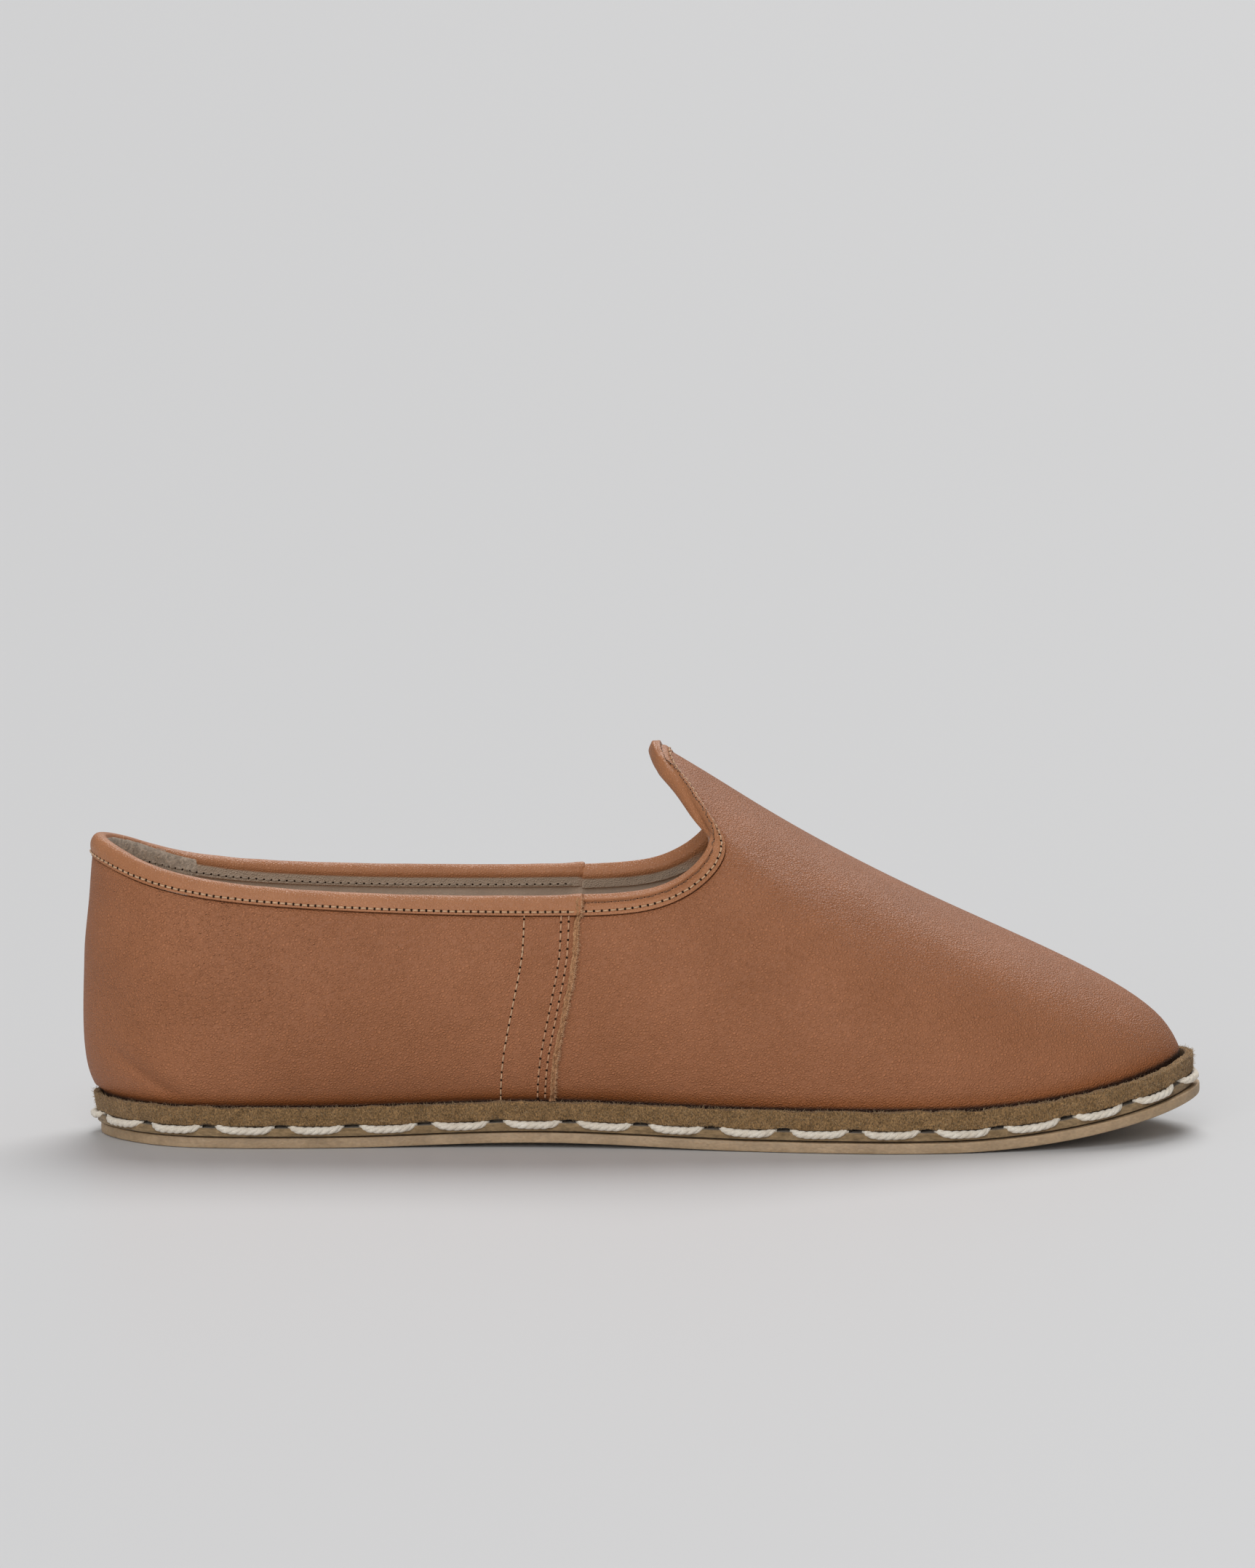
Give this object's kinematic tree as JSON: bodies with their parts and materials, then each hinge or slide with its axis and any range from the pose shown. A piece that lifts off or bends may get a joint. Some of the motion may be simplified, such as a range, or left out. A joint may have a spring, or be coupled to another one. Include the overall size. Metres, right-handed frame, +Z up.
{
  "type": "slip-on shoe",
  "caption": "Left leather slip-on with a soft low upper, raised throat tongue, suede welt and a thin flat hand-sewn sole",
  "frame": {"origin": "on the floor under the middle of the shoe's bounding box", "axes": "+X runs from heel to toe, +Y to the outer (lateral) side of this left shoe, +Z up"},
  "size_m": [0.2832, 0.0922, 0.0984],
  "materials": {
    "outsole_rubber": "tan sheet rubber, satin, cut edge",
    "midsole_leather": "brown sole leather, raw edge",
    "welt_suede": "olive-brown suede with a fuzzy cut edge",
    "insole_leather": "vegetable-tanned, matt, blotchy",
    "upper_leather": "tan-brown full-grain calf, soft satin",
    "trim_leather": "the upper's leather folded thin, a little glossier",
    "lining_leather": "taupe lining leather, matt",
    "thread": "twisted waxed cotton, off-white"
  },
  "bodies": {
    "root": {"outsole": "outsole_rubber", "midsole": "midsole_leather", "welt": "welt_suede", "insole": "insole_leather", "upper": "upper_leather", "collar_band": "trim_leather", "throat_binding": "trim_leather"}
  },
  "joints": []
}
